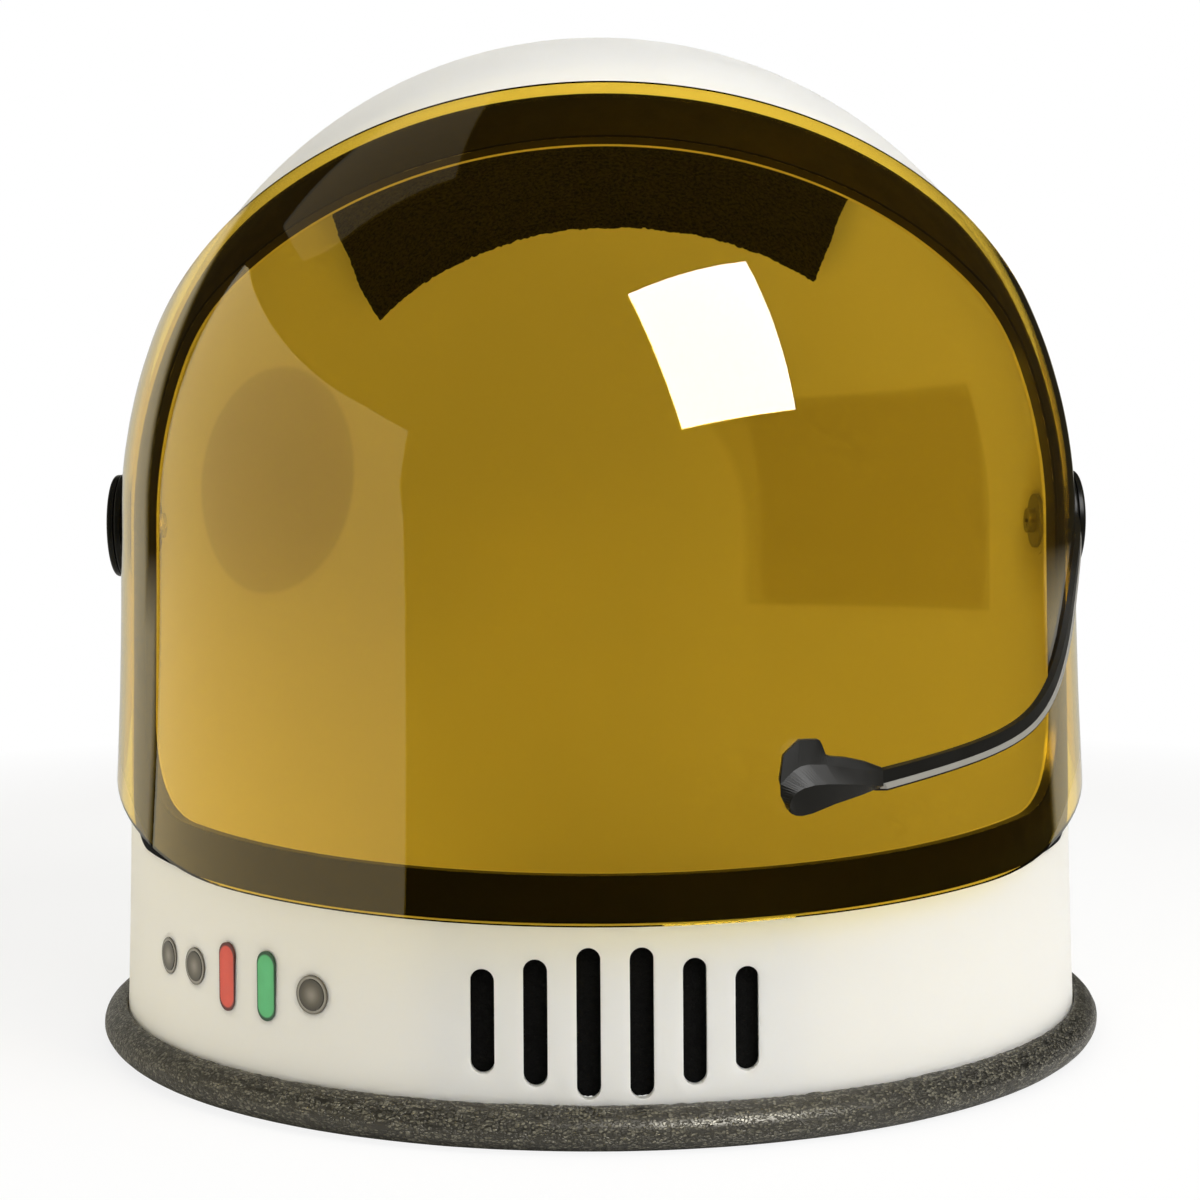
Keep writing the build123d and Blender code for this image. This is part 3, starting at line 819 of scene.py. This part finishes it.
# Stage
def make_world():
    """White behind the object for camera rays and clear sheets, dark before it in reflections."""
    world = bpy.data.worlds.new("studio")
    bpy.context.scene.world = world
    world.use_nodes = True
    tree = world.node_tree
    tree.nodes.clear()
    lean = 0.25
    path = add_node(tree, "ShaderNodeLightPath").outputs
    direction = add_node(tree, "ShaderNodeTexCoord").outputs["Generated"]
    sideways, backwards, upwards = add_node(tree, "ShaderNodeSeparateXYZ", Vector=direction).outputs
    turned = maths(tree, "SUBTRACT", backwards, maths(tree, "MULTIPLY", sideways, lean))
    behind = span(tree, turned, 0.855, 0.885)
    low = maths(tree, "MINIMUM", span(tree, upwards, 0.0, -0.03), span(tree, backwards, 0.59, 0.63))
    pale = maths(tree, "MAXIMUM", behind, low)
    mirrored = mix_colours(tree, pale, (0.02, 0.018, 0.012), (0.62, 0.61, 0.55))
    reflected = maths(tree, "MAXIMUM", path["Is Glossy Ray"], path["Is Transmission Ray"])
    around = mix_colours(tree, reflected, (0.27, 0.26, 0.225), mirrored)
    shade = mix_colours(tree, seen_directly(tree), around, (1, 1, 1))
    surface = add_node(tree, "ShaderNodeBackground", Color=shade, Strength=1.0)
    add_node(tree, "ShaderNodeOutputWorld", Surface=surface.outputs[0])


def make_floor():
    """A pale round floor that fades to the white background."""
    floor_radius, fade_start, fade_end = 0.6, 0.3, 0.58
    mesh = bpy.data.meshes.new("floor")
    shape = bmesh.new()
    bmesh.ops.create_circle(shape, cap_ends=True, radius=floor_radius, segments=96)
    shape.to_mesh(mesh)
    shape.free()
    floor = new_object("floor", mesh)
    floor.location = (0, 0.32, 0)
    material, tree = new_tree("floor")
    reach = vector_maths(tree, "LENGTH", place(tree))["Value"]
    fade = span(tree, reach, fade_start, fade_end, 0.72, 1.0)
    fade = maths(tree, "MULTIPLY", fade, seen_directly(tree))
    matt = add_node(tree, "ShaderNodeBsdfDiffuse", Color=(0.9, 0.9, 0.9, 1))
    white = add_node(tree, "ShaderNodeEmission", Color=(1, 1, 1, 1), Strength=1.0)
    both = add_node(tree, "ShaderNodeMixShader", n0=fade, n1=matt.outputs[0], n2=white.outputs[0])
    output(tree, both.outputs[0])
    floor.data.materials.append(material)


def softbox(name, centre, across, up, brightness, mirrored):
    """A rectangular lamp that faces the helmet: it lights matt faces, or it is only mirrored or seen."""
    centre, across, up = Vector(centre), Vector(across), Vector(up)
    data = bpy.data.lights.new(name, "AREA")
    data.shape = "RECTANGLE"
    data.size = across.length
    data.size_y = up.length
    data.energy = brightness * math.pi * across.length * up.length
    lamp = new_object(name, data)
    x_axis = across.normalized()
    z_axis = x_axis.cross(up).normalized()
    if z_axis.dot(centre - Vector((0, 0, PIVOT_HEIGHT))) < 0:
        x_axis, z_axis = -x_axis, -z_axis
    y_axis = z_axis.cross(x_axis)
    turned = Matrix((x_axis, y_axis, z_axis)).transposed().to_4x4()
    lamp.matrix_world = Matrix.Translation(centre) @ turned
    lamp.visible_glossy = mirrored
    lamp.visible_transmission = mirrored
    lamp.visible_diffuse = not mirrored
    lamp.visible_camera = False


def make_lamps():
    """The key at the right, a weak fill at the left, the mirrored window, and soft light from above."""
    lamps = (
        ("key", (0.79, -0.663, 0.846), (0.39, 0.46, 0.0), (-0.34, 0.285, 0.6), 7.5),
        ("fill", (-0.7, -1.1, 0.3), (0.4, -0.25, 0.0), (0.0, 0.0, 0.5), 2.7),
        ("window", (0.488, -0.909, 0.846), (0.488, 0.3245, 0.053), (0.287, -0.2775, -0.541), 22.0),
        ("above", (0.0, 0.1, 1.5), (1.6, 0.0, 0.0), (0.0, 1.6, 0.0), 1.45),
    )
    for name, centre, across, up, brightness in lamps:
        softbox(name, centre, across, up, brightness, mirrored=name == "window")


def make_board(name, corners, colour, strength):
    """A flat glowing board that the camera doesn't see and that casts no shadow."""
    mesh = bpy.data.meshes.new(name)
    mesh.from_pydata(corners, [], [tuple(range(len(corners)))])
    board = new_object(name, mesh)
    board.visible_camera = False
    board.visible_shadow = False
    material, tree = new_tree(name)
    glow = add_node(tree, "ShaderNodeEmission", Color=(*colour, 1), Strength=strength)
    output(tree, glow.outputs[0])
    mesh.materials.append(material)


def make_boards():
    """A tall warm-white board on the left, with its top edge lower in front, and a dim one overhead."""
    left_side, top = -1.2, 1.5
    left_board = [
        (0.66, 0.989), (0.575, 0.985), (0.42, 0.933), (0.233, 0.879), (0.032, 0.822), (-0.169, 0.772),
        (-0.336, 0.737), (-0.504, 0.71), (-0.659, 0.696), (-0.825, 0.688), (-1.007, 0.673),
        (-1.207, 0.662), (-1.18, 0.34), (-1.225, 0.15), (-1.26, -0.01), (-1.28, -0.3), (0.7, -0.3),
    ]
    corners = [(left_side, back, height) for back, height in left_board]
    make_board("left_board", corners, (1.0, 0.93, 0.74), 1.0)
    ceiling = [(-0.38, 0.32), (-0.60, -0.154), (-1.42, 0.051), (-1.62, 0.235), (-1.5, 0.8), (-0.25, 0.6)]
    make_board("ceiling_board", [(across, back, top) for across, back in ceiling], (1.0, 0.95, 0.85), 0.22)


bpy.context.scene.view_settings.view_transform = "Standard"
make_camera()
make_world()
make_floor()
make_boards()
make_lamps()

white_shell = shell_material()
gold_visor = visor_material()
black_gloss = plastic("black_gloss", (0.006, 0.006, 0.005), (0.009, 0.009, 0.008), 0.3, specular=0.1)
black_band = plastic("black_band", (0.002, 0.002, 0.002), (0.004, 0.004, 0.0035), 0.7, specular=0.06)
black_satin = plastic("black_satin", (0.007, 0.0065, 0.005), (0.01, 0.0095, 0.0075), 0.42, specular=0.2)
edge_foam = foam_material()
crown_foam = pad_material("pad_foam", (0.014, 0.0138, 0.012), (0.07, 0.069, 0.06))
# Painted shade: the chin pad is the same foam as the crown pad but much darker, so the vent slots in front
# of it read black.
chin_foam_painted_shade = pad_material("chin_foam_painted_shade", (0.001, 0.001, 0.001), (0.004, 0.004, 0.0035))
silver = plastic("silver_line", (0.3, 0.29, 0.26), (0.34, 0.33, 0.3), 0.5)
steel = metal("steel", (0.5, 0.49, 0.46), 0.6)
nylon = plastic("washer_nylon", (0.75, 0.75, 0.72), (0.7, 0.7, 0.67), 0.5)
grey_lens = lens("grey_lens", "status_dots", [
    (0.0, (0.33, 0.3, 0.25)), (0.55, (0.13, 0.115, 0.085)), (1.0, (0.03, 0.027, 0.02)),
])
grey_bezel = lens("grey_bezel", "dot_bezels", [
    (0.0, (0.34, 0.32, 0.27)), (0.82, (0.34, 0.32, 0.27)), (0.9, (0.12, 0.105, 0.08)),
])
red_lens = lens("red_lens", "red_light", [
    (0.0, (0.80, 0.105, 0.065)), (0.72, (0.76, 0.085, 0.05)), (0.84, (0.1, 0.012, 0.008)),
])
green_lens = lens("green_lens", "green_light", [
    (0.0, (0.12, 0.57, 0.225)), (0.72, (0.11, 0.53, 0.2)), (0.84, (0.012, 0.07, 0.025)),
])
round_patch = round_patch_material()
striped_patch = striped_patch_material()

finishes = {
    "shell": white_shell, "opening_trim": black_band, "visor": gold_visor, "pivot_flange_left": black_gloss,
    "pivot_flange_right": black_gloss, "pivot_cap_left": black_gloss, "pivot_cap_right": black_gloss,
    "pivot_spacers": nylon, "backing_washers": steel, "pivot_screws": steel, "base_foam": edge_foam,
    "crown_pad": crown_foam, "chin_pad": chin_foam_painted_shade, "mic_boom": black_satin, "mic_stripe": silver,
    "mic_capsule": black_satin, "status_dots": grey_lens, "dot_bezels": grey_bezel, "red_light": red_lens,
    "green_light": green_lens, "round_patch": round_patch, "striped_patch": striped_patch,
}
for name, material in finishes.items():
    dress(name, material)

make_foam_ring()
make_pad(
    "crown_cushion", "crown_pad", crown_place, crown_corners, CROWN_THICKNESS, edge_radius=0.0012,
    steps=(220, 200), seed=2, material=crown_foam,
)
make_pad(
    "chin_cushion", "chin_pad", chin_place, chin_corners, CHIN_THICKNESS, edge_radius=0.0006,
    steps=(120, 66), seed=7, material=chin_foam_painted_shade,
)
make_visor_sheet()
make_capsule()
